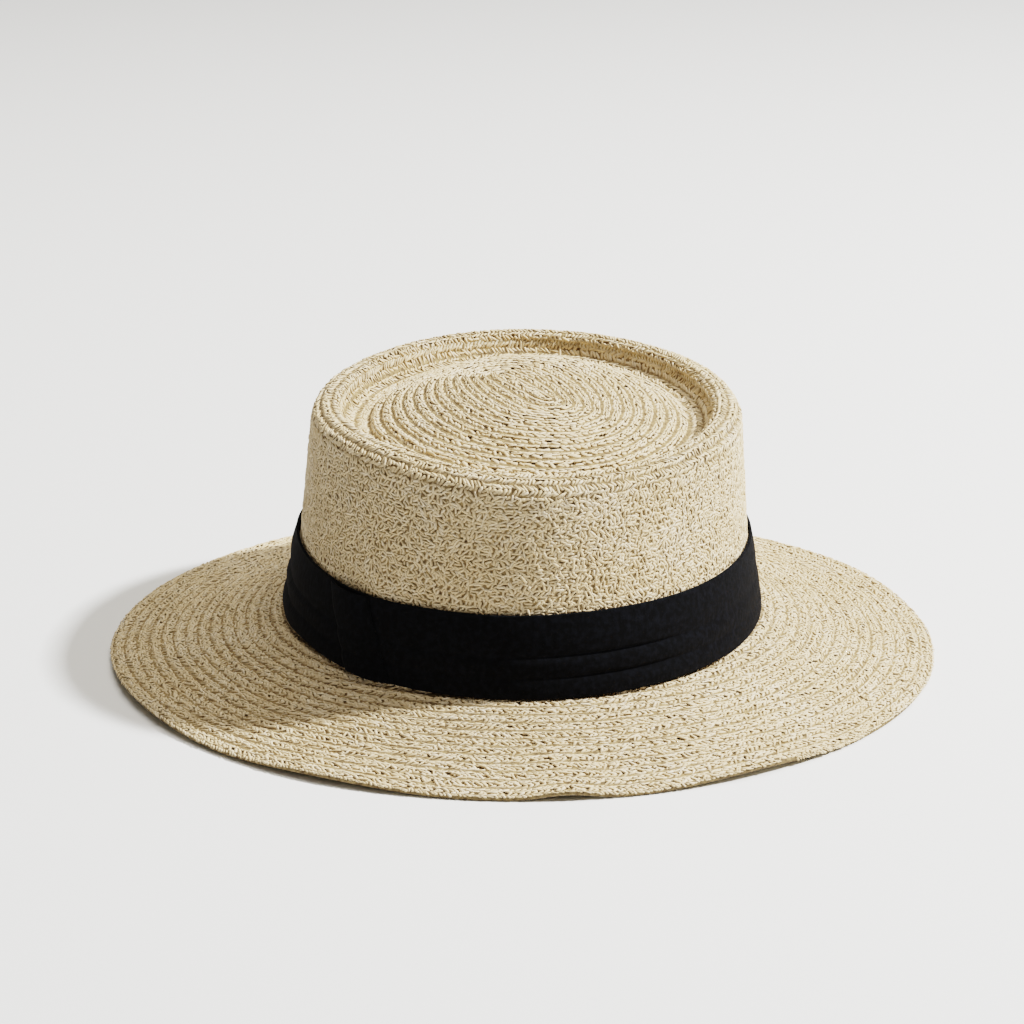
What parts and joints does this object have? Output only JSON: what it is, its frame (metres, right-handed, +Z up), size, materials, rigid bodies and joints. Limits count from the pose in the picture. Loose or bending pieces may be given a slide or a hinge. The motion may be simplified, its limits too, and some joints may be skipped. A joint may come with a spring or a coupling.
{
  "type": "straw boater hat",
  "caption": "Wide-brimmed straw boater with an oval crown, a sunken domed tip and a pleated black cloth band.",
  "frame": {"origin": "on the surface that the brim rests on, below the middle of the brim", "axes": "+Z up through the crown; the front of the hat looks toward -Y and its left is toward -X"},
  "size_m": [0.301, 0.298, 0.0964],
  "materials": {
    "straw_braid": "matt sewn braid",
    "black_cloth": "matt plain weave"
  },
  "bodies": {
    "root": {"crown": "straw_braid", "brim": "straw_braid", "band": "black_cloth", "band_loop": "black_cloth"}
  },
  "joints": []
}
